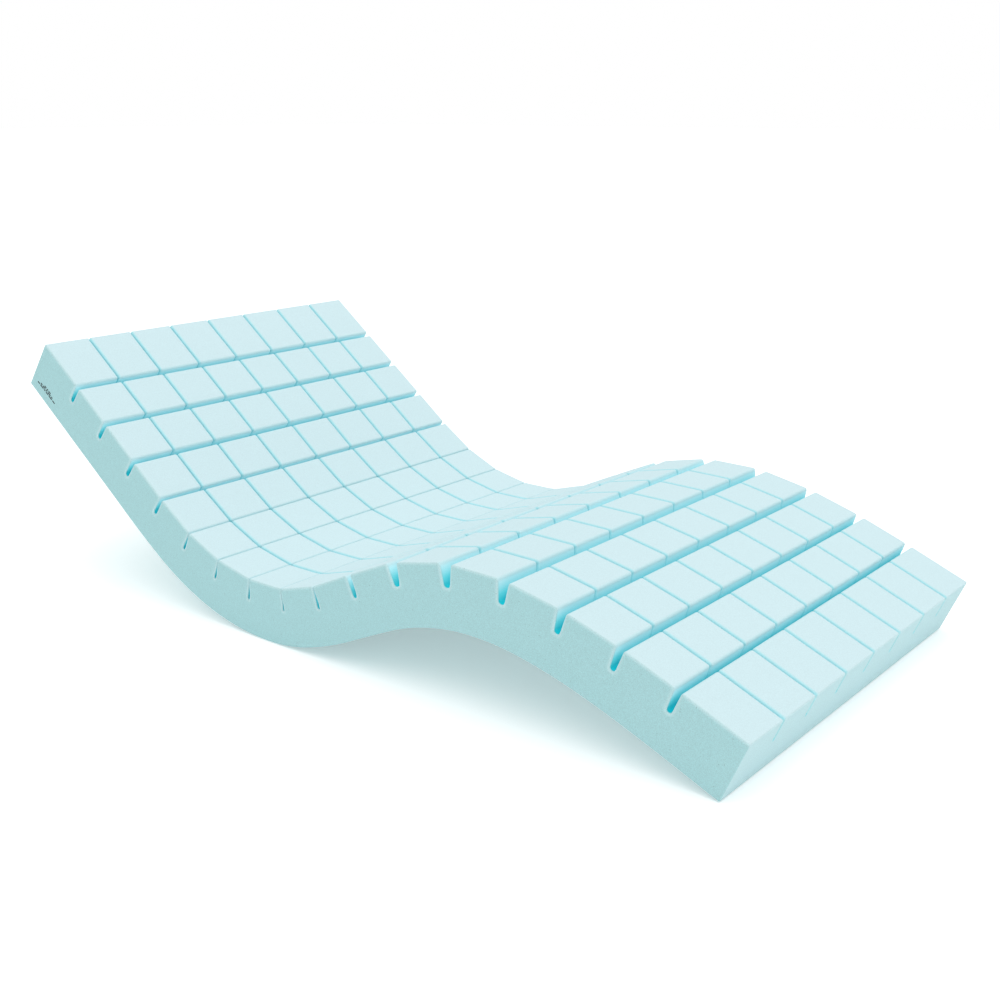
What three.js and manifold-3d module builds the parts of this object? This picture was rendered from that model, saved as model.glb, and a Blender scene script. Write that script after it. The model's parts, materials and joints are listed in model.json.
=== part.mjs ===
// Castellated foam core of a pressure relief mattress, lying in the curve of a raised bed.
// Seventeen rows of eight cells stand on one slab of foam. Between two rows a cross slot is
// cut from the top, and the uncut foam under it is a web that bends like a hinge.
// Millimetres and degrees. +X runs from the head end to the foot end, +Y across, +Z up.
// The origin is at floor level, under the middle of the bounding box.
import * as THREE from "three";
import { mergeVertices } from "three/addons/utils/BufferGeometryUtils.js";
import Module from "manifold-3d";

const wasm = await Module();
wasm.setup();

// The slab, laid flat
const LENGTH = 1950;
const WIDTH = 900;
const THICKNESS = 120;

// The cuts in its top: sixteen cross slots and seven lengthwise slits
const ROWS = 17;
const CELLS_ACROSS = 8;
const ROW_PITCH = 112;
const SLOT_DEPTH = 45;
const SLOT_WIDTH = 13;
const SLIT_WIDTH = 2.5;
const LIP_RADIUS = 6;
const SLIT_LIP = 3;

// The curve it lies in: how far each web bends, from the head end to the foot end.
// A positive bend closes the slot above it, and a negative bend opens it.
const BENDS = [0, 0, 0, 3.5, 10, 12, 12, 16, 9, -1, -12, -13, -10.5, -6, -3.5, -1.5];
const LEVEL_ROW = 8;

const TOUCHING_GAP = 0.3;
const FOAM_COLOUR = "#cfe7ec";
const WEB_COLOUR = "#a3ced5";

// Worked out from the sizes above. Heights are counted from the line the webs bend about,
// which runs through the middle of the uncut foam.
const END_ROW = (LENGTH - (ROWS - 2) * ROW_PITCH) / 2;
const CELL_PITCH = WIDTH / CELLS_ACROSS;
const WEB_THICKNESS = THICKNESS - SLOT_DEPTH;
const UNDERSIDE = -WEB_THICKNESS / 2;
const TOP = THICKNESS + UNDERSIDE;
const SLOT_FLOOR = TOP - SLOT_DEPTH;
const HALF_SLOT = SLOT_WIDTH / 2;

const { degToRad } = THREE.MathUtils;
const twoDigits = (number) => String(number).padStart(2, "0");
const rowLength = (row) => (row === 1 || row === ROWS ? END_ROW : ROW_PITCH);

// A bend is asked for by the number of the row before it, and the two ends have none.
const bendAfter = (row) => (row >= 1 && row < ROWS ? degToRad(BENDS[row - 1]) : null);

// The slope of each row, counted out both ways from the level one.
function rowSlopes() {
  const slopes = new Map([[LEVEL_ROW, 0]]);
  for (let row = LEVEL_ROW + 1; row <= ROWS; row++) {
    slopes.set(row, slopes.get(row - 1) + bendAfter(row - 1));
  }
  for (let row = LEVEL_ROW - 1; row >= 1; row--) {
    slopes.set(row, slopes.get(row + 1) - bendAfter(row));
  }
  return slopes;
}

// The points where the rows meet on the bending line; a row starts at its own number.
function rowStarts(slopes) {
  const starts = new Map([[LEVEL_ROW, new THREE.Vector3()]]);
  const along = (row) => new THREE.Vector3(Math.cos(slopes.get(row)), 0, Math.sin(slopes.get(row)));
  for (let row = LEVEL_ROW; row <= ROWS; row++) {
    const step = along(row).multiplyScalar(rowLength(row));
    starts.set(row + 1, starts.get(row).clone().add(step));
  }
  for (let row = LEVEL_ROW - 1; row >= 1; row--) {
    const step = along(row).multiplyScalar(rowLength(row));
    starts.set(row, starts.get(row + 1).clone().sub(step));
  }
  return starts;
}

// How far a row's wall stands back from the cut at a height. Where the bend closes the
// slot, the two walls meet on the plane halfway between the rows.
function wallSetback(height, bend) {
  if (bend === null) return 0;
  const halfway = height * Math.tan(bend / 2) + TOUCHING_GAP / 2;
  return Math.max(HALF_SLOT, halfway);
}

// The height at which a closing wall starts to lean, or null where it stays straight.
function leanHeight(bend) {
  if (bend === null || bend <= 0) return null;
  const height = (HALF_SLOT - TOUCHING_GAP / 2) / Math.tan(bend / 2);
  return height < TOP - LIP_RADIUS ? height : null;
}

// A row's outline seen from the side, with the bends before and after it.
function rowOutline(length, bendBefore, bendAfterRow) {
  const before = (height) => wallSetback(height, bendBefore);
  const after = (height) => length - wallSetback(height, bendAfterRow);
  const shoulder = TOP - LIP_RADIUS;
  const outline = new THREE.Shape();
  outline.moveTo(before(UNDERSIDE), UNDERSIDE);
  outline.lineTo(after(UNDERSIDE), UNDERSIDE);
  const leanAfter = leanHeight(bendAfterRow);
  if (leanAfter !== null) outline.lineTo(after(leanAfter), leanAfter);
  outline.lineTo(after(shoulder), shoulder);
  outline.quadraticCurveTo(after(TOP), TOP, after(TOP) - LIP_RADIUS, TOP);
  outline.lineTo(before(TOP) + LIP_RADIUS, TOP);
  outline.quadraticCurveTo(before(TOP), TOP, before(shoulder), shoulder);
  const leanBefore = leanHeight(bendBefore);
  if (leanBefore !== null) outline.lineTo(before(leanBefore), leanBefore);
  outline.closePath();
  return outline;
}

// A web's outline seen from the side, about the point it bends at. Its two faces follow
// the rows' walls, and its top is the round floor of the slot.
function webOutline(bend) {
  const half = HALF_SLOT - TOUCHING_GAP;
  const shoulder = SLOT_FLOOR + SLOT_WIDTH / 5;
  const [cos, sin] = [Math.cos(bend / 2), Math.sin(bend / 2)];
  const halfWidth = (height) => half * cos - height * sin;
  const level = (height) => half * sin + height * cos;
  const outline = new THREE.Shape();
  outline.moveTo(-halfWidth(UNDERSIDE), level(UNDERSIDE));
  outline.lineTo(halfWidth(UNDERSIDE), level(UNDERSIDE));
  outline.lineTo(halfWidth(shoulder), level(shoulder));
  const dip = 2 * level(SLOT_FLOOR) - level(shoulder);
  outline.quadraticCurveTo(0, dip, -halfWidth(shoulder), level(shoulder));
  outline.closePath();
  return outline;
}

// The lengthwise cut between two cells: round at the bottom, with soft lips at the top.
function slitOutline() {
  const half = SLIT_WIDTH / 2;
  const above = TOP + LIP_RADIUS;
  const outline = new THREE.Shape();
  outline.moveTo(-half, SLOT_FLOOR + half);
  outline.absarc(0, SLOT_FLOOR + half, half, Math.PI, 2 * Math.PI, false);
  outline.lineTo(half, TOP - SLIT_LIP);
  outline.quadraticCurveTo(half, TOP, half + SLIT_LIP, TOP);
  outline.lineTo(half + SLIT_LIP, above);
  outline.lineTo(-half - SLIT_LIP, above);
  outline.lineTo(-half - SLIT_LIP, TOP);
  outline.quadraticCurveTo(-half, TOP, -half, TOP - SLIT_LIP);
  outline.closePath();
  return outline;
}

// An outline in X and Z, drawn out across the mattress and centred on its middle.
function acrossMattress(outline, curveSegments) {
  const geometry = new THREE.ExtrudeGeometry(outline, {
    depth: WIDTH,
    steps: 1,
    curveSegments,
    bevelEnabled: false,
  });
  geometry.rotateX(Math.PI / 2);
  geometry.translate(0, WIDTH / 2, 0);
  return geometry;
}

// An outline in Y and Z, drawn out along a row and past both its ends.
function alongRow(outline, length, y) {
  const geometry = new THREE.ExtrudeGeometry(outline, {
    depth: length + SLOT_WIDTH,
    steps: 1,
    curveSegments: 2,
    bevelEnabled: false,
  });
  const turn = new THREE.Matrix4().makeBasis(
    new THREE.Vector3(0, 1, 0),
    new THREE.Vector3(0, 0, 1),
    new THREE.Vector3(1, 0, 0),
  );
  geometry.applyMatrix4(turn);
  geometry.translate(-SLOT_WIDTH / 2, y, 0);
  return geometry;
}

// A closed three.js geometry as a solid, and a solid as a geometry.
function toSolid(geometry) {
  const bare = geometry.clone();
  bare.deleteAttribute("normal");
  bare.deleteAttribute("uv");
  const merged = mergeVertices(bare);
  return new wasm.Manifold(
    new wasm.Mesh({
      numProp: 3,
      vertProperties: new Float32Array(merged.attributes.position.array),
      triVerts: new Uint32Array(merged.index.array),
    }),
  );
}

function toGeometry(solid) {
  const mesh = solid.getMesh();
  const geometry = new THREE.BufferGeometry();
  geometry.setAttribute("position", new THREE.BufferAttribute(mesh.vertProperties, 3));
  geometry.setIndex(new THREE.BufferAttribute(mesh.triVerts, 1));
  geometry.computeVertexNormals();
  return geometry;
}

// Foam is matt all over; a fresh cut inside a slot is a shade deeper than the cell tops.
function foam(colour) {
  return new THREE.MeshStandardMaterial({ color: colour, roughness: 0.95, metalness: 0 });
}

// One row: a strip of the slab with its eight cells, set at its place and slope.
function cellRow(row, start, slope) {
  const length = rowLength(row);
  const outline = rowOutline(length, bendAfter(row - 1), bendAfter(row));
  let solid = toSolid(acrossMattress(outline, 2));
  for (let slit = 1; slit < CELLS_ACROSS; slit++) {
    const y = slit * CELL_PITCH - WIDTH / 2;
    solid = solid.subtract(toSolid(alongRow(slitOutline(), length, y)));
  }
  const mesh = new THREE.Mesh(toGeometry(solid), foam(FOAM_COLOUR));
  mesh.name = `cell_row_${twoDigits(row)}`;
  mesh.position.copy(start);
  mesh.rotation.y = -slope;
  return mesh;
}

// One web: the foam under the slot after a row, turned halfway between the two slopes.
function hingeWeb(row, hinge, slope) {
  const bend = bendAfter(row);
  const mesh = new THREE.Mesh(acrossMattress(webOutline(bend), 5), foam(WEB_COLOUR));
  mesh.name = `hinge_web_${twoDigits(row)}`;
  mesh.position.copy(hinge);
  mesh.rotation.y = -(slope + bend / 2);
  return mesh;
}

function mattressCore() {
  const core = new THREE.Group();
  const slopes = rowSlopes();
  const starts = rowStarts(slopes);
  for (let row = 1; row <= ROWS; row++) {
    core.add(cellRow(row, starts.get(row), slopes.get(row)));
  }
  for (let row = 1; row < ROWS; row++) {
    core.add(hingeWeb(row, starts.get(row + 1), slopes.get(row)));
  }
  return core;
}

const core = mattressCore();
const bounds = new THREE.Box3().setFromObject(core, true);
core.position.set(-(bounds.min.x + bounds.max.x) / 2, 0, -bounds.min.z);

const mattress = new THREE.Group();
mattress.add(core);

export default mattress;
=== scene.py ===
# %% [markdown]
# # A pressure relief mattress core
# The object is a bare slab of castellated foam, as it comes out from under its cover. Sixteen
# cross slots and seven lengthwise slits cut its top into a grid of soft square cells, and the
# foam left under each slot bends, so the slab lies in the curve of a raised bed.
# First the frame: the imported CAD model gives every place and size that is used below.

# %% Load the frame
import json
import math

import bmesh
import bpy
from mathutils import Matrix, Vector

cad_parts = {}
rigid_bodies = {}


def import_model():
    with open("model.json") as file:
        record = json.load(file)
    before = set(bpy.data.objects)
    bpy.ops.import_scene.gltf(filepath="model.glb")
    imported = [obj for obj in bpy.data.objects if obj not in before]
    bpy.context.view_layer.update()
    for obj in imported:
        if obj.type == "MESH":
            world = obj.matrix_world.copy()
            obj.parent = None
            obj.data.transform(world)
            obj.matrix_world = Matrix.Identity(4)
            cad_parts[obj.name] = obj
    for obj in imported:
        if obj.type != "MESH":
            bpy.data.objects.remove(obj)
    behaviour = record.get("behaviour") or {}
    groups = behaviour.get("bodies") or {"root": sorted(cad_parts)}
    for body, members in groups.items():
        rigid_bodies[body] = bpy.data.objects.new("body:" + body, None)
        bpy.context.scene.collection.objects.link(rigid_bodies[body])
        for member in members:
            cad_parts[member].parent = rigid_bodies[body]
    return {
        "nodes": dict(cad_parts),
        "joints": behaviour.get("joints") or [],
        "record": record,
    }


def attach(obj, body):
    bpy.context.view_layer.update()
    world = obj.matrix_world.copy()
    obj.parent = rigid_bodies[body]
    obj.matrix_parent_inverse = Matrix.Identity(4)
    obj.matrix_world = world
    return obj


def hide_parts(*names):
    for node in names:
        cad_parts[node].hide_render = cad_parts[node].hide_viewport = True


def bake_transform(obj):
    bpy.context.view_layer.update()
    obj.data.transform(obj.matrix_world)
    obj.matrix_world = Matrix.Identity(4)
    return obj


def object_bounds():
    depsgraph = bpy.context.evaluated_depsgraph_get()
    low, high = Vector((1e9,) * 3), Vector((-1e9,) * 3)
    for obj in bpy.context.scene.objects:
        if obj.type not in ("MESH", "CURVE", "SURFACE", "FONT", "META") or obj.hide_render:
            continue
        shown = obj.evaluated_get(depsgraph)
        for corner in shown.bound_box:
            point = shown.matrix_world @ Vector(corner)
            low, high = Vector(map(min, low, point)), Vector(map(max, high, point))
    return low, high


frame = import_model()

MM = 0.001
cad_box = [list(corner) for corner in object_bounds()]
print("CAD box, metres:", [[round(x, 3) for x in corner] for corner in cad_box])


# %% [markdown]
# ## Reading the slab from the frame
# Each row of cells is a straight, rigid strip of the slab. Its underside is its largest flat
# face, so the direction of that face gives the row's slope. The hinges lie on a line through
# the middle of the uncut foam, and every height below is counted from that line.

# %% Slopes, hinges and sizes
rows = sorted(name for name in frame["nodes"] if name.startswith("cell_row_"))
webs = sorted(name for name in frame["nodes"] if name.startswith("hinge_web_"))
body_of_node = {
    node: body
    for body, nodes in frame["record"]["behaviour"]["bodies"].items()
    for node in nodes
}


def row_slope(node):
    """The angle of a row above level, going towards the foot end, in radians."""
    faces = frame["nodes"][node].data.polygons
    down = max(faces, key=lambda face: face.area).normal
    return math.atan2(down.x, -down.z)


def hinge_between(first, second):
    """The point that two rows turn about, from the joint between their bodies."""
    wanted = {body_of_node[first], body_of_node[second]}
    joint = next(j for j in frame["joints"] if {j["parent"], j["child"]} == wanted)
    return Vector((joint["pos_m"][0], 0, joint["pos_m"][2]))


def reach(node, hinge, slope):
    """How far a row goes along its slope and above the hinge line, as two (low, high) pairs."""
    along = Vector((math.cos(slope), 0, math.sin(slope)))
    above = Vector((-math.sin(slope), 0, math.cos(slope)))
    points = [vertex.co - hinge for vertex in frame["nodes"][node].data.vertices]
    lengths = [point.dot(along) for point in points]
    heights = [point.dot(above) for point in points]
    return (min(lengths), max(lengths)), (min(heights), max(heights))


slopes = [row_slope(node) for node in rows]
hinges = [hinge_between(first, second) for first, second in zip(rows, rows[1:])]
head_reach, (UNDERSIDE, TOP) = reach(rows[0], hinges[0], slopes[0])
foot_reach, _ = reach(rows[-1], hinges[-1], slopes[-1])

WIDTH = cad_box[1][1] - cad_box[0][1]
ROW_PITCH = (hinges[1] - hinges[0]).length
HALF_SLOT = -head_reach[1]
HEAD_ROW = -head_reach[0]
FOOT_ROW = foot_reach[1]
SLOT_FLOOR = -UNDERSIDE
SLAB_LENGTH = HEAD_ROW + ROW_PITCH * (len(hinges) - 1) + FOOT_ROW
print("rows:", len(rows), "pitch:", round(ROW_PITCH / MM, 1), "mm")
print("half slot:", round(HALF_SLOT / MM, 2), "mm")
print("underside and top:", round(UNDERSIDE / MM, 2), round(TOP / MM, 2), "mm from the hinge line")
print("slopes, degrees:", [round(math.degrees(slope), 1) for slope in slopes])

# %% [markdown]
# ## One unit of foam
# The slab repeats, so only one unit of it is drawn: a slot with half a row on each side of it,
# one cell wide. Sections that run from the middle of one row to the middle of the next put one
# slot, and so one hinge, in the middle of each section.
# A saw and a contour wire make flat faces, so the unit starts as plain flat faces too. Soft
# foam gives a little along every edge, which a bevel rounds. Its width is set edge by edge:
# widest on the lips of the cuts, least along the bottom. A boolean cut or a remesh could make
# the same shape, but both leave uneven faces, and the foam has to bend cleanly later.

# %% Sizes of the cuts
CELLS_ACROSS = 8
CELL_PITCH = WIDTH / CELLS_ACROSS
# The slots stand a little narrower than they were cut, and more so at the floor.
HALF_MOUTH = 0.86 * HALF_SLOT
HALF_SLOT_FLOOR = 0.72 * HALF_SLOT
# Where the straight walls of a slot turn into its round floor.
SLOT_ROUND = SLOT_FLOOR + HALF_SLOT_FLOOR
HALF_SLIT = 1.3 * MM
TROUGH_STEPS = 8
# The faces under a slot spread out towards the underside by this factor. Foam is squeezed there
# when a valley is laid flat, and wider faces have room to shorten without folding over.
FAN = 4.5
print("cell pitch:", round(CELL_PITCH / MM, 1), "mm")

# %% Widths of the soft edges
LIP = 5.0 * MM
MOUTH_EDGE = 3.5 * MM
END_EDGE = 3.0 * MM
BOTTOM_EDGE = 1.5 * MM
BEVEL_STEPS = 4
# A loop this far behind a rounded edge keeps the face beyond it flat.
SUPPORT = 0.7 * MM
SHARP = math.radians(35)
TINY = 0.02 * MM
print("lip:", LIP / MM, "mm, mouth edge:", MOUTH_EDGE / MM, "mm")


# %% Flat faces of one unit
def trough_profile():
    """The round floor of a slot, from its headward wall to its footward wall."""
    turns = [math.pi * step / TROUGH_STEPS for step in range(TROUGH_STEPS + 1)]
    radius = HALF_SLOT_FLOOR
    return [(-radius * math.cos(a), SLOT_ROUND - radius * math.sin(a)) for a in turns]


def flat_faces(headward, footward, outer_side):
    """One unit as flat faces, open where the units beside it are welded on."""
    trough = trough_profile()
    along = [-headward] + [s for s, _ in trough] + [footward]
    floor = [SLOT_ROUND] + [n for _, n in trough] + [SLOT_ROUND]
    half = CELL_PITCH / 2
    across = [-half, half - HALF_SLIT, half]
    if not outer_side:
        across.insert(1, HALF_SLIT - half)
    last = len(along) - 1
    cell = len(across) - 3
    mesh = bmesh.new()
    made = {}

    def face(*corners, flip=False):
        points = []
        for i, j, level in corners:
            height = {"low": UNDERSIDE, "floor": floor[i], "top": TOP}[level]
            place = along[i]
            if level == "top" and 0 < i < last:
                place = math.copysign(HALF_MOUTH, place)
            if level == "low" and 0 < i < last:
                place *= FAN
            if (i, j, level) not in made:
                made[i, j, level] = mesh.verts.new((place, across[j], height))
            points.append(made[i, j, level])
        mesh.faces.new(points[::-1] if flip else points)

    for i in range(last):
        for j in range(len(across) - 1):
            up = "top" if j == cell and i in (0, last - 1) else "floor"
            face((i, j, "low"), (i, j + 1, "low"), (i + 1, j + 1, "low"), (i + 1, j, "low"))
            face((i, j, up), (i + 1, j, up), (i + 1, j + 1, up), (i, j + 1, up))
        if outer_side:
            face((i, 0, "low"), (i + 1, 0, "low"), (i + 1, 0, "floor"), (i, 0, "floor"))
    for i in (0, last - 1):
        for j in (cell, cell + 1):
            wall = (i, j, "floor"), (i + 1, j, "floor"), (i + 1, j, "top"), (i, j, "top")
            face(*wall, flip=j > cell)
    for i in (1, last - 1, 0, last):
        low = (i, cell, "floor"), (i, cell + 1, "floor")
        high = (i, cell + 1, "top"), (i, cell, "top")
        face(*low, *high, flip=i in (0, last - 1))
    for i in (0, last):
        for j in range(len(across) - 1):
            cap = (i, j, "low"), (i, j, "floor"), (i, j + 1, "floor"), (i, j + 1, "low")
            face(*cap, flip=i == last)
    mesh.normal_update()
    return mesh


print("the floor of a slot:", TROUGH_STEPS, "faces round")


# %% How soft each edge is
def softness(edge, headward, footward, outer_side, at_head, at_foot):
    """The width of the rounding on one edge of a unit, in metres."""
    if not edge.is_manifold or not edge.is_convex or edge.calc_face_angle() < SHARP:
        return 0
    a, b = (vertex.co for vertex in edge.verts)
    on_side = outer_side and max(a.y, b.y) < TINY - CELL_PITCH / 2
    head_face = max(a.x, b.x) < TINY - headward
    foot_face = min(a.x, b.x) > footward - TINY
    if (head_face and not at_head) or (foot_face and not at_foot):
        return 0
    if max(a.z, b.z) < UNDERSIDE + TINY:
        return BOTTOM_EDGE
    if head_face or foot_face:
        return END_EDGE
    if on_side:
        return MOUTH_EDGE
    if min(a.z, b.z) > TOP - TINY or abs(a.y - b.y) < TINY < abs(a.z - b.z):
        return LIP
    return 0


ON_PLANE = 1e-7


def cut_loops(mesh, axis, places):
    """Adds edge loops in planes across one axis, where the foam has to bend or stay flat."""
    for place in places:
        everything = mesh.verts[:] + mesh.edges[:] + mesh.faces[:]
        bmesh.ops.bisect_plane(
            mesh, geom=everything, dist=ON_PLANE, plane_co=axis * place, plane_no=axis
        )


# %% Round the edges of a unit and give it loops
BEND_LOOPS = [x * MM for x in (26, 34, 42, 50)]
WALL_LOOPS = [x * MM for x in (-24, -8, 8, 24, 50, 57, 64, 71)]


def evaluated_mesh(thing):
    """The mesh that an object's modifiers make, as new plain data."""
    bpy.context.view_layer.update()
    graph = bpy.context.evaluated_depsgraph_get()
    return bpy.data.meshes.new_from_object(thing.evaluated_get(graph))


def foam_unit(name, headward, footward, outer_side=False, at_head=False, at_foot=False):
    """One unit of foam with soft edges, as an object that is only shown through instances."""
    mesh = flat_faces(headward, footward, outer_side)
    weights = mesh.edges.layers.float.new("bevel_weight_edge")
    for edge in mesh.edges:
        wide = softness(edge, headward, footward, outer_side, at_head, at_foot)
        edge[weights] = wide / LIP
    data = bpy.data.meshes.new(name)
    mesh.to_mesh(data)
    mesh.free()
    unit = bpy.data.objects.new(name, data)
    bpy.context.scene.collection.objects.link(unit)
    bevel = unit.modifiers.new("soft edges", "BEVEL")
    bevel.limit_method = "WEIGHT"
    bevel.width = LIP
    bevel.segments = BEVEL_STEPS
    bevel.use_clamp_overlap = False
    rounded = evaluated_mesh(unit)
    unit.modifiers.clear()
    mesh = bmesh.new()
    mesh.from_mesh(rounded)
    lip_end = HALF_MOUTH + LIP + SUPPORT
    both_ways = [side * x for x in [lip_end] + BEND_LOOPS for side in (-1, 1)]
    inner = CELL_PITCH / 2 - HALF_SLIT - LIP - SUPPORT
    outer = CELL_PITCH / 2 - MOUTH_EDGE - SUPPORT if outer_side else inner
    levels = WALL_LOOPS + [TOP - LIP - SUPPORT, UNDERSIDE + BOTTOM_EDGE + SUPPORT]
    cut_loops(mesh, Vector((1, 0, 0)), both_ways)
    cut_loops(mesh, Vector((0, 1, 0)), [-outer, inner])
    cut_loops(mesh, Vector((0, 0, 1)), levels)
    mesh.to_mesh(unit.data)
    mesh.free()
    unit.hide_render = True
    print(name, "faces:", len(unit.data.polygons))
    return unit


# %% Six units: at the head end, between and at the foot end, for the middle and for the sides
half_row = ROW_PITCH / 2
units = {}
for place, sizes in {
    "head": dict(headward=HEAD_ROW, footward=half_row, at_head=True),
    "mid": dict(headward=half_row, footward=half_row),
    "foot": dict(headward=half_row, footward=FOOT_ROW, at_foot=True),
}.items():
    units[place] = (
        foam_unit(f"unit_{place}_middle", **sizes),
        foam_unit(f"unit_{place}_side", outer_side=True, **sizes),
    )


# %% [markdown]
# ## The rule that every section follows
# All sixteen sections are the same strip of foam, bent by a different angle, so one Geometry
# Nodes tree makes them all. It lays the units side by side, welds them, writes down where each
# point was while the slab was flat, and then bends the strip about its hinge. The underside
# bends over nearly the whole section and the slot walls hardly at all, as thick foam does.
# Where the slot closes, its two walls would pass through each other, so they are pressed back
# to the gap that touching pieces keep, and the foam behind them gives way over a few
# centimetres. Bending each section by hand or with lattices would be far less even, and a soft
# body simulation would not keep the tops flat.
# The rule is written as a table of steps. Each step is one node, and it is named, so that the
# steps after it can use it.

# %% Helpers for nodes
def add_node(tree, kind, *inputs, **settings):
    """Adds one node. Inputs come in order, or by name in a dictionary, as values or links."""
    node = tree.nodes.new(kind)
    for name, value in settings.items():
        setattr(node, name, value)
    by_name = bool(inputs) and isinstance(inputs[0], dict)
    for key, value in (inputs[0] if by_name else dict(enumerate(inputs))).items():
        if isinstance(value, bpy.types.Node):
            value = next(output for output in value.outputs if output.enabled)
        if isinstance(value, bpy.types.NodeSocket):
            tree.links.new(value, node.inputs[key])
        else:
            node.inputs[key].default_value = value
    return node


# A step that is not a Math operation. Both go from one number to another between two limits.
STEP_KINDS = {
    "RAMP": ("ShaderNodeMapRange", {}),
    "FADE": ("ShaderNodeMapRange", {"interpolation_type": "SMOOTHSTEP"}),
}


def add_steps(tree, known, steps):
    """Adds a labelled node for each step, and puts it among the known values."""
    for name, (kind, *inputs) in steps.items():
        node_kind, settings = STEP_KINDS.get(kind, ("ShaderNodeMath", {"operation": kind}))
        inputs = [known[item] if isinstance(item, str) else item for item in inputs]
        known[name] = add_node(tree, node_kind, *inputs, label=name, **settings)


# %% The tree and its named inputs
tree = bpy.data.node_groups.new("Foam section", "GeometryNodeTree")
tree.interface.new_socket("Geometry", in_out="OUTPUT", socket_type="NodeSocketGeometry")
tree.interface.new_socket("Geometry", in_out="INPUT", socket_type="NodeSocketGeometry")
SECTION_INPUTS = {
    "Middle unit": "NodeSocketObject",
    "Side unit": "NodeSocketObject",
    "Cells across": "NodeSocketInt",
    "Cell pitch": "NodeSocketFloat",
    "Place along slab": "NodeSocketFloat",
    "Bend": "NodeSocketFloat",
    "Half mouth": "NodeSocketFloat",
    "Touching gap": "NodeSocketFloat",
    "Foam": "NodeSocketMaterial",
}
for name, kind in SECTION_INPUTS.items():
    tree.interface.new_socket(name, in_out="INPUT", socket_type=kind)
known = {output.name: output for output in add_node(tree, "NodeGroupInput").outputs}
print("inputs of the tree:", len(SECTION_INPUTS))

# %% Units side by side, the two outer ones with a cut side face
WELD = 0.01 * MM

add_steps(tree, known, {
    "middle units": ("SUBTRACT", "Cells across", 2.0),
    "back half a cell": ("MULTIPLY", "Cell pitch", -0.5),
    "spaces between": ("SUBTRACT", "middle units", 1.0),
    "first place": ("MULTIPLY", "spaces between", "back half a cell"),
    "side place": ("SUBTRACT", "first place", "Cell pitch"),
})
line = add_node(
    tree,
    "GeometryNodeMeshLine",
    {
        "Count": known["middle units"],
        "Start Location": add_node(tree, "ShaderNodeCombineXYZ", {"Y": known["first place"]}),
        "Offset": add_node(tree, "ShaderNodeCombineXYZ", {"Y": known["Cell pitch"]}),
    },
    mode="OFFSET",
)
middle, side = (
    add_node(tree, "GeometryNodeObjectInfo", {"Object": known[unit]}).outputs["Geometry"]
    for unit in ("Middle unit", "Side unit")
)
middles = add_node(tree, "GeometryNodeInstanceOnPoints", {"Points": line, "Instance": middle})
side_place = add_node(tree, "ShaderNodeCombineXYZ", {"Y": known["side place"]})
near = add_node(tree, "GeometryNodeTransform", {"Geometry": side, "Translation": side_place})
# The far side is the near side mirrored, which turns its faces inside out, so they are flipped.
far = add_node(tree, "GeometryNodeTransform", {"Geometry": near, "Scale": (1, -1, 1)})
far = add_node(tree, "GeometryNodeRealizeInstances", {"Geometry": far})
far = add_node(tree, "GeometryNodeFlipFaces", {"Mesh": far})
joined = add_node(tree, "GeometryNodeJoinGeometry")
for part in (far, near, middles):
    tree.links.new(part.outputs[0], joined.inputs[0])
strip = add_node(tree, "GeometryNodeRealizeInstances", {"Geometry": joined})
strip = add_node(tree, "GeometryNodeMergeByDistance", {"Geometry": strip, "Distance": WELD})
print("units across:", CELLS_ACROSS, "welded within", WELD / MM, "mm")

# %% Where each point lies in the flat slab, for the foam's finish
flat = add_node(tree, "ShaderNodeSeparateXYZ", add_node(tree, "GeometryNodeInputPosition"))
# s goes along the slab from the hinge, y across it, and n up from the hinge line.
known["s"], known["y"], known["n"] = flat.outputs
add_steps(tree, known, {"from head end": ("ADD", "s", "Place along slab")})
slab_place = add_node(
    tree, "ShaderNodeCombineXYZ", known["from head end"], known["y"], known["n"]
)
strip = add_node(
    tree,
    "GeometryNodeStoreNamedAttribute",
    {"Geometry": strip, "Name": "slab_place", "Value": slab_place},
    data_type="FLOAT_VECTOR",
    domain="POINT",
)

# %% Bend: straight past the reach of the bend, and a parabola at each level within it
BEND_REACH_BELOW = 54 * MM

add_steps(tree, known, {
    "away": ("ABSOLUTE", "s"),
    "half bend": ("MULTIPLY", "Bend", 0.5),
    "cosine": ("COSINE", "half bend"),
    "sine": ("SINE", "half bend"),
    "reach": ("RAMP", "n", UNDERSIDE, SLOT_FLOOR, BEND_REACH_BELOW, HALF_SLOT_FLOOR),
    "share": ("DIVIDE", "away", "reach"),
    "part": ("MINIMUM", "share", 1.0),
    "past": ("SUBTRACT", "away", "reach"),
    "beyond": ("MAXIMUM", "past", 0.0),
    "reach x": ("MULTIPLY", "reach", "cosine"),
    "reach z": ("MULTIPLY", "reach", "sine"),
    "lean": ("MULTIPLY", "n", "sine"),
    "height": ("MULTIPLY", "n", "cosine"),
    "end x": ("SUBTRACT", "reach x", "lean"),
    "end z": ("ADD", "reach z", "height"),
    "corner z": ("DIVIDE", "n", "cosine"),
    "part squared": ("MULTIPLY", "part", "part"),
    "part left": ("SUBTRACT", 1.0, "part squared"),
    "bow": ("MULTIPLY", "part left", 0.5),
    "corner above": ("SUBTRACT", "corner z", "end z"),
    "bowed": ("MULTIPLY", "bow", "corner above"),
    "bowed z": ("ADD", "end z", "bowed"),
    "beyond x": ("MULTIPLY", "beyond", "cosine"),
    "beyond z": ("MULTIPLY", "beyond", "sine"),
    "part x": ("MULTIPLY", "end x", "part"),
    "bent x": ("ADD", "part x", "beyond x"),
    "bent z": ("ADD", "bowed z", "beyond z"),
})
print("the underside bends over", round(2 * BEND_REACH_BELOW / MM), "mm")

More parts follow.
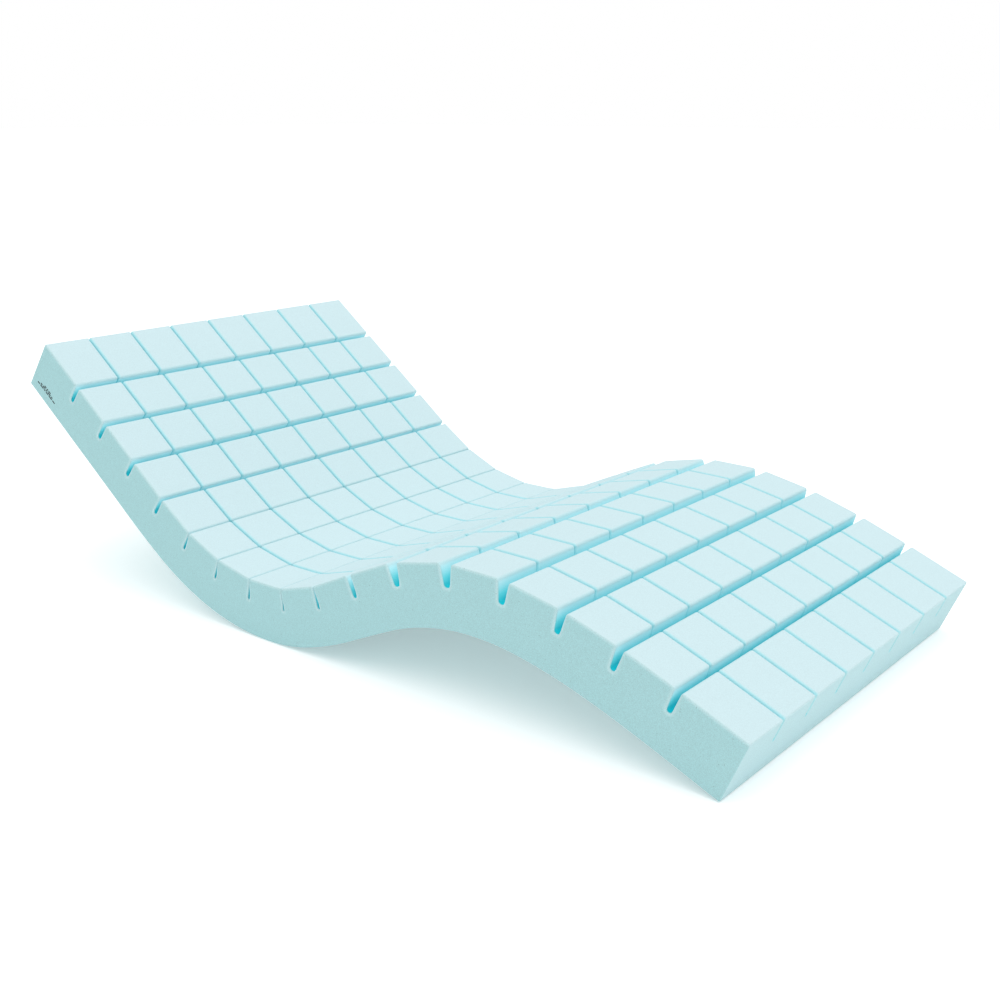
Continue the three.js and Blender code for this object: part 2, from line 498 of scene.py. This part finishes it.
# %% Give: the floor of the slot moves less than its mouth, and closing walls stop at the gap
SLACK_AT_FLOOR = 0.58
SLACK_AT_TOP = 0.15
SLACK_REACH = 45 * MM
PRESS_LENGTH = 7 * MM
BULGE = 0.6

add_steps(tree, known, {
    "up to floor": ("RAMP", "n", 0.0, SLOT_FLOOR, 0.0, SLACK_AT_FLOOR),
    "up to top": ("RAMP", "n", SLOT_FLOOR, TOP, 0.0, SLACK_AT_FLOOR - SLACK_AT_TOP),
    "slack share": ("SUBTRACT", "up to floor", "up to top"),
    "slack": ("MULTIPLY", "slack share", "lean"),
    "half width": ("RAMP", "n", SLOT_ROUND, TOP, HALF_SLOT_FLOOR, "Half mouth"),
    "wall flat": ("MULTIPLY", "half width", "cosine"),
    "wall turned": ("SUBTRACT", "wall flat", "lean"),
    "wall": ("ADD", "wall turned", "slack"),
    "half gap": ("MULTIPLY", "Touching gap", 0.5),
    "too close": ("SUBTRACT", "half gap", "wall"),
    "press": ("MAXIMUM", "too close", 0.0),
    "past mouth": ("SUBTRACT", "away", "Half mouth"),
    "behind": ("MAXIMUM", "past mouth", 0.0),
    "behind share": ("DIVIDE", "behind", SLACK_REACH),
    "near share": ("SUBTRACT", 1.0, "behind share"),
    "near": ("MAXIMUM", "near share", 0.0),
    "near squared": ("MULTIPLY", "near", "near"),
    "slack here": ("MULTIPLY", "slack", "near squared"),
    "press depth": ("DIVIDE", "behind", -PRESS_LENGTH),
    "press share": ("EXPONENT", "press depth"),
    "press here": ("MULTIPLY", "press", "press share"),
    "all give": ("ADD", "slack here", "press here"),
    "give": ("MULTIPLY", "all give", "part"),
    "given x": ("ADD", "bent x", "give"),
    "direction": ("SIGN", "s"),
    "final x": ("MULTIPLY", "direction", "given x"),
    "bulge": ("MULTIPLY", "press here", BULGE),
    "final z": ("ADD", "bent z", "bulge"),
})
bent = add_node(tree, "ShaderNodeCombineXYZ", known["final x"], known["y"], known["final z"])
strip = add_node(tree, "GeometryNodeSetPosition", {"Geometry": strip, "Position": bent})
strip = add_node(tree, "GeometryNodeRealizeInstances", {"Geometry": strip})
strip = add_node(
    tree, "GeometryNodeSetMaterial", {"Geometry": strip, "Material": known["Foam"]}
)
add_node(tree, "NodeGroupOutput", {"Geometry": strip})
print("nodes in the tree:", len(tree.nodes))


# %% [markdown]
# ## The finish
# Viscoelastic polyurethane foam is a mass of open cells under a millimetre wide, cut with a
# saw. It is quite matt, and light goes in and comes out again a few millimetres away, so it
# looks deeper wherever foam faces foam: the pale aqua of the flat tops turns to a strong
# cyan down in the cuts. The outer faces are one long saw cut, grainier, with a few open pores;
# they are painted darker than the tops, as painted shade, and their rims paler, as painted light.
# Subsurface scattering would give some of this, but the slab is made of closed sections, and
# scattering shows every seam between them. So the deepening colour in the cuts is painted shade
# and painted light, set by depth, and a faint emission stands for the light that comes through
# the foam. All patterns read the place in the flat slab, so they bend with the foam.

# %% Colours
def linear(hex_colour):
    """An sRGB hex colour as the linear numbers that a shader takes."""
    parts = [int(hex_colour[i : i + 2], 16) / 255 for i in (1, 3, 5)]
    bent = [c / 12.92 if c <= 0.04045 else ((c + 0.055) / 1.055) ** 2.4 for c in parts]
    return (*bent, 1)


# The colour of the flat tops; the colour of the outer faces, darker as painted shade for faces
# turned from the light above; and the paler painted light along the rims of the outer faces.
FOAM_TOP = "#cde5ea"
SIDE_PAINTED_SHADE = "#a6cfd2"
PAINTED_RIM_LIGHT = "#bbdadd"
CUT_DEPTHS = 45 * MM
# The painted shade and painted light of the foam at each depth below the top, in millimetres.
CUT_SHADE_COLOURS = {
    0: FOAM_TOP,
    3: "#c7e5ea",
    8: "#bce4ea",
    16: "#a8dfe6",
    28: "#74d5dd",
    45: "#14bfcb",
}

# Foam that was cut and left as it is: matt, with no coat and almost no gloss.
foam = bpy.data.materials.new("viscoelastic polyurethane foam, saw cut")
foam.use_nodes = True
finish = foam.node_tree
finish.nodes.clear()
flat_place = add_node(finish, "ShaderNodeAttribute", attribute_name="slab_place").outputs["Vector"]
along, across, height = add_node(finish, "ShaderNodeSeparateXYZ", flat_place).outputs
known = {"along": along, "across": across, "height": height}
print("foam colours:", 2 + len(CUT_SHADE_COLOURS))

# %% How far each point is from the nearest slot and slit, and which face it is on
# The share of the outer faces' painted shade that the end faces take.
END_PAINTED_SHADE = 0.45
SIDE_ROUND = 1 * MM
END_FROM, END_TO = 2.5 * MM, 0.3 * MM
UNDER_FROM, UNDER_TO = 0.1 * MM, 1.2 * MM
LAST_SLOT = HEAD_ROW + ROW_PITCH * (len(hinges) - 1)

add_steps(finish, known, {
    "off centre": ("ABSOLUTE", "across"),
    "side": ("FADE", "off centre", WIDTH / 2 - MOUTH_EDGE, WIDTH / 2 - SIDE_ROUND),
    "from middle": ("SUBTRACT", "along", SLAB_LENGTH / 2),
    "off middle": ("ABSOLUTE", "from middle"),
    "end": (
        "FADE", "off middle", SLAB_LENGTH / 2 - END_FROM, SLAB_LENGTH / 2 - END_TO, 0.0, END_PAINTED_SHADE
    ),
    "outer face": ("MAXIMUM", "side", "end"),
    "under": ("FADE", "height", UNDERSIDE + UNDER_FROM, UNDERSIDE + UNDER_TO, 1.0, 0.0),
    "outside": ("MAXIMUM", "outer face", "under"),
    "past head row": ("MAXIMUM", "along", HEAD_ROW),
    "held": ("MINIMUM", "past head row", LAST_SLOT),
    "from first slot": ("SUBTRACT", "held", HEAD_ROW),
    "to slot": ("PINGPONG", "from first slot", ROW_PITCH / 2),
    "past slots": ("SUBTRACT", "along", "held"),
    "in end row": ("ABSOLUTE", "past slots"),
    "from slot": ("ADD", "to slot", "in end row"),
    "from slit": ("PINGPONG", "across", CELL_PITCH / 2),
})
print("first and last slot from the head end:", [round(x / MM) for x in (HEAD_ROW, LAST_SLOT)], "mm")

# %% Depth: painted shade and light deepen the colour down in the cuts, and sooner in a slit, which is so narrow
SLIT_DEEPENING = 2.0
SLIT_SOFT = 0.5 * MM
# The painted tint reaches this far onto the tops beside a cut, as painted light that comes through
# the foam.
SLOT_GLOW = 4 * MM
SLIT_GLOW = 15 * MM
GLOW_REACH = 6.5 * MM
FLOOR_FROM, FLOOR_TO = 3 * MM, 0.1 * MM

add_steps(finish, known, {
    "below top": ("SUBTRACT", TOP, "height"),
    "cut through": ("FADE", "height", SLOT_FLOOR - FLOOR_FROM, SLOT_FLOOR - FLOOR_TO),
    "in slot": ("FADE", "from slot", HALF_SLOT, HALF_MOUTH + LIP, 1.0, 0.0),
    "slot wall": ("MULTIPLY", "in slot", "below top"),
    "slot glow": ("FADE", "from slot", HALF_MOUTH, HALF_MOUTH + GLOW_REACH, SLOT_GLOW, 0.0),
    "slot depth": ("MAXIMUM", "slot wall", "slot glow"),
    "in slit": ("FADE", "from slit", HALF_SLIT + TINY, HALF_SLIT + SLIT_SOFT, SLIT_DEEPENING, 0.0),
    "slit wall": ("MULTIPLY", "in slit", "below top"),
    "slit glow": ("FADE", "from slit", HALF_SLIT, HALF_SLIT + GLOW_REACH, SLIT_GLOW, 0.0),
    "deepest": ("MAXIMUM", "slit wall", "slit glow"),
    "has slit": ("LESS_THAN", "off centre", (WIDTH - CELL_PITCH) / 2),
    "slit depth": ("MULTIPLY", "deepest", "has slit"),
    "cut depth": ("MAXIMUM", "slot depth", "slit depth"),
    "depth": ("MULTIPLY", "cut depth", "cut through"),
    "depth share": ("DIVIDE", "depth", CUT_DEPTHS),
})
# The colour ramp of painted shade and light down the cuts.
ramp = add_node(finish, "ShaderNodeValToRGB", known["depth share"])
stops = ramp.color_ramp.elements
stops.remove(stops[1])
for millimetres, colour in CUT_SHADE_COLOURS.items():
    stop = stops.new(millimetres * MM / CUT_DEPTHS) if millimetres else stops[0]
    stop.color = linear(colour)
print("stops in the colour of the cuts:", len(stops))

# %% Rims: painted light, a paler line along the top edge of a side face and round the slot mouths, where light comes through the thin foam
RIM_LIGHT_WIDTH = 7 * MM

add_steps(finish, known, {
    "above round": ("SUBTRACT", "height", SLOT_ROUND),
    "below round": ("MINIMUM", "above round", 0.0),
    "aside": ("POWER", "from slot", 2.0),
    "down": ("POWER", "below round", 2.0),
    "both": ("ADD", "aside", "down"),
    "from round": ("SQRT", "both"),
    "from mouth": ("SUBTRACT", "from round", HALF_MOUTH),
    "from edge": ("MINIMUM", "from mouth", "below top"),
    "inwards": ("FADE", "from edge", 0.0, RIM_LIGHT_WIDTH),
})
# In a Mix node for colours, input 0 is the amount and inputs 6 and 7 are the two colours.
rim = {0: known["inwards"], 6: linear(PAINTED_RIM_LIGHT), 7: linear(SIDE_PAINTED_SHADE)}
side_shade_and_rim_light = add_node(finish, "ShaderNodeMix", rim, data_type="RGBA")
# The outer faces take the side colour with its painted shade and rim light; the rest takes the
# painted shade of the cuts.
outer = {0: known["outer face"], 6: ramp, 7: side_shade_and_rim_light}
colour = add_node(finish, "ShaderNodeMix", outer, data_type="RGBA")
# The underside takes the side colour, with its painted shade.
bottom = {0: known["under"], 6: colour, 7: linear(SIDE_PAINTED_SHADE)}
colour = add_node(finish, "ShaderNodeMix", bottom, data_type="RGBA")
print("rim:", RIM_LIGHT_WIDTH / MM, "mm wide")

# %% Grain of the cut cells, and a few cells that were left open as pores
# The real cells are about half a millimetre wide, which is too fine to show, so the grain is
# drawn at three times that. The outer faces are grainier than the tops.
GRAIN = 1.6 * MM
GRAIN_DETAIL = 3.0
GRAIN_HARSHNESS = 0.7
GRAIN_ON_TOP, GRAIN_OUTSIDE = 0.3, 0.75
PORE_SPACING = 10 * MM
PORE_RADIUS = 1.5 * MM
PORE_SHARE = 0.35
PORE_ON_TOP, PORE_OUTSIDE = 0.03, 0.4

grain_sizes = {
    "Vector": flat_place,
    "Scale": 1 / GRAIN,
    "Detail": GRAIN_DETAIL,
    "Roughness": GRAIN_HARSHNESS,
}
grain = add_node(finish, "ShaderNodeTexNoise", grain_sizes)
pore_sizes = {"Vector": flat_place, "Scale": 1 / PORE_SPACING}
cells = add_node(finish, "ShaderNodeTexVoronoi", pore_sizes)
known["grain"] = grain.outputs["Fac"]
known["to cell"] = cells.outputs["Distance"]
known["chance"] = add_node(finish, "ShaderNodeSeparateColor", cells.outputs["Color"])
# The pores are painted darker on top of their dent, as painted shade in the small holes.
add_steps(finish, known, {
    "picked": ("LESS_THAN", "chance", PORE_SHARE),
    "dimple": ("FADE", "to cell", 0.0, PORE_RADIUS / PORE_SPACING, 1.0, 0.0),
    "pore": ("MULTIPLY", "dimple", "picked"),
    "grain depth": ("FADE", "outside", 0.0, 1.0, GRAIN_ON_TOP, GRAIN_OUTSIDE),
    "pore depth": ("FADE", "outside", 0.0, 1.0, PORE_ON_TOP, PORE_OUTSIDE),
    "grain about 0": ("SUBTRACT", "grain", 0.5),
    "grain shade": ("MULTIPLY", "grain about 0", "grain depth"),
    "grain light": ("ADD", 1.0, "grain shade"),
    "pore shade": ("MULTIPLY", "pore", "pore depth"),
    "shading": ("SUBTRACT", "grain light", "pore shade"),
    "relief": ("SUBTRACT", "grain", "pore"),
})
shaded = {0: 1.0, 6: colour, 7: known["shading"]}
colour = add_node(finish, "ShaderNodeMix", shaded, data_type="RGBA", blend_type="MULTIPLY")
print("grain:", GRAIN / MM, "mm, pores:", 2 * PORE_RADIUS / MM, "mm wide")

# %% Painted light: a faint emission for the light that comes through the foam into the cuts, and the shader
SLOT_LIGHT = 0.18
SLIT_LIGHT = 0.2
SLOT_LIGHT_FROM, SLOT_LIGHT_TO = 1.5 * MM, 9 * MM
SLIT_LIGHT_FROM, SLIT_LIGHT_TO = 8 * MM, 30 * MM
# No light comes out close to the side faces, where the slots open.
OPEN_FROM, OPEN_TO = 6 * MM, 2 * MM
RELIEF_STRENGTH = 0.25
RELIEF_DEPTH = 0.4 * MM
FOAM_ROUGHNESS = 0.95
FOAM_GLOSS = 0.15

add_steps(finish, known, {
    "slot light": ("FADE", "slot wall", SLOT_LIGHT_FROM, SLOT_LIGHT_TO, 0.0, SLOT_LIGHT),
    "slit light": ("FADE", "slit depth", SLIT_LIGHT_FROM, SLIT_LIGHT_TO, 0.0, SLIT_LIGHT),
    "light": ("MAXIMUM", "slot light", "slit light"),
    "inside": (
        "FADE", "off centre", WIDTH / 2 - OPEN_FROM, WIDTH / 2 - OPEN_TO, "cut through", 0.0
    ),
    "glow": ("MULTIPLY", "light", "inside"),
})
relief = {
    "Strength": RELIEF_STRENGTH,
    "Distance": RELIEF_DEPTH,
    "Height": known["relief"],
}
shader_inputs = {
    "Base Color": colour,
    "Roughness": FOAM_ROUGHNESS,
    "Specular IOR Level": FOAM_GLOSS,
    "Normal": add_node(finish, "ShaderNodeBump", relief),
    "Emission Color": colour,
    "Emission Strength": known["glow"],
}
shader = add_node(finish, "ShaderNodeBsdfPrincipled", shader_inputs)
add_node(finish, "ShaderNodeOutputMaterial", {"Surface": shader})
print("nodes in the foam's finish:", len(finish.nodes))

# %% [markdown]
# ## The slab
# Each section is made from the tree, turned into a plain mesh, and moved to its hinge.

# %% Make the sections
TOUCHING_GAP = 0.3 * MM
socket_of = {
    item.name: item.identifier for item in tree.interface.items_tree if item.in_out == "INPUT"
}


def make_section(number):
    """Section number 1 crosses the first hinge from the head end."""
    first, second = slopes[number - 1], slopes[number]
    place = "head" if number == 1 else "foot" if number == len(hinges) else "mid"
    data = bpy.data.meshes.new(f"section {number}")
    maker = bpy.data.objects.new(f"section {number}", data)
    bpy.context.scene.collection.objects.link(maker)
    modifier = maker.modifiers.new("Foam section", "NODES")
    modifier.node_group = tree
    sizes = {
        "Middle unit": units[place][0],
        "Side unit": units[place][1],
        "Cells across": CELLS_ACROSS,
        "Cell pitch": CELL_PITCH,
        "Place along slab": HEAD_ROW + ROW_PITCH * (number - 1),
        "Bend": second - first,
        "Half mouth": HALF_MOUTH,
        "Touching gap": TOUCHING_GAP,
        "Foam": foam,
    }
    for name, value in sizes.items():
        modifier[socket_of[name]] = value
    mesh = evaluated_mesh(maker)
    bpy.data.objects.remove(maker)
    mean = (first + second) / 2
    hinge = hinges[number - 1]
    mesh.transform(Matrix.Translation(hinge) @ Matrix.Rotation(-mean, 4, "Y"))
    mesh.shade_smooth()
    mesh.set_sharp_from_angle(angle=SHARP)
    section = bpy.data.objects.new(f"foam_section_{number:02d}", mesh)
    bpy.context.scene.collection.objects.link(section)
    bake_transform(section)
    stands_for = [rows[number - 1], webs[number - 1]] + ([rows[-1]] if place == "foot" else [])
    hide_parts(*stands_for)
    return section


sections = [make_section(number) for number in range(1, len(rows))]
for pair in units.values():
    for unit in pair:
        bpy.data.objects.remove(unit)
print("sections:", len(sections), "faces:", sum(len(section.data.polygons) for section in sections))

# %% [markdown]
# ## The stamp
# Near the head end one side carries a small stamped note. Its words are left out, and plain
# bars of the same size stand for its three lines. Ink has almost no thickness, so each bar is
# a thin plate with round ends, which rides on the first row. A mask in the foam's material
# would do as well, but then the ink could not have a finish of its own.

# %% Ink bars on the side at the head end
INK_COLOUR = "#10181c"
INK_ROUGHNESS = 0.8
# Ink that has soaked into foam dries matt, and leaves almost no gloss.
ink = bpy.data.materials.new("stamping ink on foam, dark grey")
ink.use_nodes = True
ink_shader = ink.node_tree.nodes["Principled BSDF"]
ink_shader.inputs["Base Color"].default_value = linear(INK_COLOUR)
ink_shader.inputs["Roughness"].default_value = INK_ROUGHNESS

INK_THICKNESS = 0.2 * MM
INK_SUNK = 0.1 * MM
BAR_HEIGHT = 3.0 * MM
END_STEPS = 6
# For each line's distance below the top: the distance from the head end and the length of each
# bar, all in millimetres.
INK_LINES = {
    86: ((44, 8), (54, 5), (61, 9)),
    90.5: ((30, 7), (39, 11), (52, 6), (60, 12), (74, 6)),
    95: ((20, 9), (31, 13), (46, 6), (54, 10), (66, 14), (82, 10)),
}


def bar_outline(start, length, below_top):
    """The outline of one bar, as distances from the head end and below the slab's top."""
    radius = BAR_HEIGHT / 2
    outline = []
    for centre, first in ((start + length - radius, -90), (start + radius, 90)):
        for step in range(END_STEPS + 1):
            turn = math.radians(first + step * 180 / END_STEPS)
            outline.append((centre + radius * math.cos(turn), below_top - radius * math.sin(turn)))
    return outline


stamp = bmesh.new()
along = Vector((math.cos(slopes[0]), 0, math.sin(slopes[0])))
above = Vector((-math.sin(slopes[0]), 0, math.cos(slopes[0])))
for below_top, bars in INK_LINES.items():
    for start, length in bars:
        outline = bar_outline(start * MM, length * MM, below_top * MM)
        front = []
        for from_end, below in outline:
            point = hinges[0] + along * (from_end - HEAD_ROW) + above * (TOP - below)
            point.y = INK_SUNK - WIDTH / 2
            front.append(stamp.verts.new(point))
        face = stamp.faces.new(front)
        plate = bmesh.ops.extrude_face_region(stamp, geom=[face])
        moved = [part for part in plate["geom"] if isinstance(part, bmesh.types.BMVert)]
        bmesh.ops.translate(stamp, verts=moved, vec=(0, -INK_THICKNESS, 0))
bmesh.ops.recalc_face_normals(stamp, faces=stamp.faces)
stamp_mesh = bpy.data.meshes.new("ink_bars")
stamp.to_mesh(stamp_mesh)
stamp.free()
stamp_mesh.materials.append(ink)
ink_bars = bpy.data.objects.new("ink_bars", stamp_mesh)
bpy.context.scene.collection.objects.link(ink_bars)
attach(ink_bars, body_of_node[rows[0]])
print("ink bars:", sum(len(bars) for bars in INK_LINES.values()))

# %% [markdown]
# ## The stage
# A plain pale floor and soft light from above: one very wide sun, and an even pale sky. The sky
# is brighter to the camera than to the foam, so the background is white and the foam keeps its
# colour. A lamp with an area would do as well, but its light falls off along so long an object.

# %% Floor
FLOOR_HALF = 60.0
# The floor is a little lower than the foam, which would bulge into it in a flat pose.
FLOOR_DROP = 1.3 * MM
floor_mesh = bpy.data.meshes.new("floor")
corners = [(-1, -1), (1, -1), (1, 1), (-1, 1)]
points = [(x * FLOOR_HALF, y * FLOOR_HALF, -FLOOR_DROP) for x, y in corners]
floor_mesh.from_pydata(points, [], [(0, 1, 2, 3)])
floor = bpy.data.objects.new("floor", floor_mesh)
bpy.context.scene.collection.objects.link(floor)

PAPER_COLOUR = (0.93, 0.93, 0.93, 1)
PAPER_ROUGHNESS = 1.0
PAPER_LIGHT = 0.25
WHITE = (1, 1, 1, 1)
# Matt paper throws light evenly, with no shine.
paper = bpy.data.materials.new("matt white studio paper")
paper.use_nodes = True
paper_shader = paper.node_tree.nodes["Principled BSDF"].inputs
paper_shader["Base Color"].default_value = PAPER_COLOUR
paper_shader["Roughness"].default_value = PAPER_ROUGHNESS
# A little light of its own keeps the paper white under the arch.
paper_shader["Emission Color"].default_value = WHITE
paper_shader["Emission Strength"].default_value = PAPER_LIGHT
floor.data.materials.append(paper)
print("floor:", 2 * FLOOR_HALF, "m wide")

# %% Sky and sun
SKY_ON_FOAM = 0.62
SKY_IN_VIEW = 1.0
world = bpy.data.worlds.new("pale sky")
bpy.context.scene.world = world
world.use_nodes = True
sky = world.node_tree
sky.nodes.clear()
lit = add_node(sky, "ShaderNodeBackground", {"Color": WHITE, "Strength": SKY_ON_FOAM})
seen = add_node(sky, "ShaderNodeBackground", {"Color": WHITE, "Strength": SKY_IN_VIEW})
which = add_node(sky, "ShaderNodeLightPath").outputs["Is Camera Ray"]
background = add_node(sky, "ShaderNodeMixShader", which, lit, seen)
add_node(sky, "ShaderNodeOutputWorld", {"Surface": background})

SUN_FROM = Vector((0.6, -0.6, 4.0))
SUN_STRENGTH = 1.5
SUN_ANGLE = math.radians(80)
lamp = bpy.data.lights.new("soft overhead light", "SUN")
lamp.energy = SUN_STRENGTH
lamp.angle = SUN_ANGLE
lamp_object = bpy.data.objects.new("soft overhead light", lamp)
lamp_object.location = SUN_FROM
lamp_object.rotation_euler = (-SUN_FROM).to_track_quat("-Z", "Y").to_euler()
bpy.context.scene.collection.objects.link(lamp_object)
print("sun:", SUN_STRENGTH, "sky:", SKY_ON_FOAM)

# %% [markdown]
# ## The camera
# It looks down on the foot end from the near side, from about three metres, so both the grid of
# cells and the curve of the side are in view.

# %% Camera
CAMERA_PLACE = (1.7264, -2.0607, 1.0169)
AZIMUTH = math.radians(38.65)
ELEVATION = math.radians(16.59)
SENSOR_WIDTH = 36
LENS = 47.38
camera_data = bpy.data.cameras.new("camera")
camera_data.sensor_width = SENSOR_WIDTH
camera_data.lens = LENS
camera = bpy.data.objects.new("camera", camera_data)
camera.location = CAMERA_PLACE
level = math.cos(ELEVATION)
look = Vector((-math.sin(AZIMUTH) * level, math.cos(AZIMUTH) * level, -math.sin(ELEVATION)))
camera.rotation_euler = look.to_track_quat("-Z", "Y").to_euler()
bpy.context.scene.collection.objects.link(camera)
bpy.context.scene.camera = camera
bpy.context.scene.view_settings.view_transform = "Standard"
print("camera:", CAMERA_PLACE, "lens:", LENS, "mm")
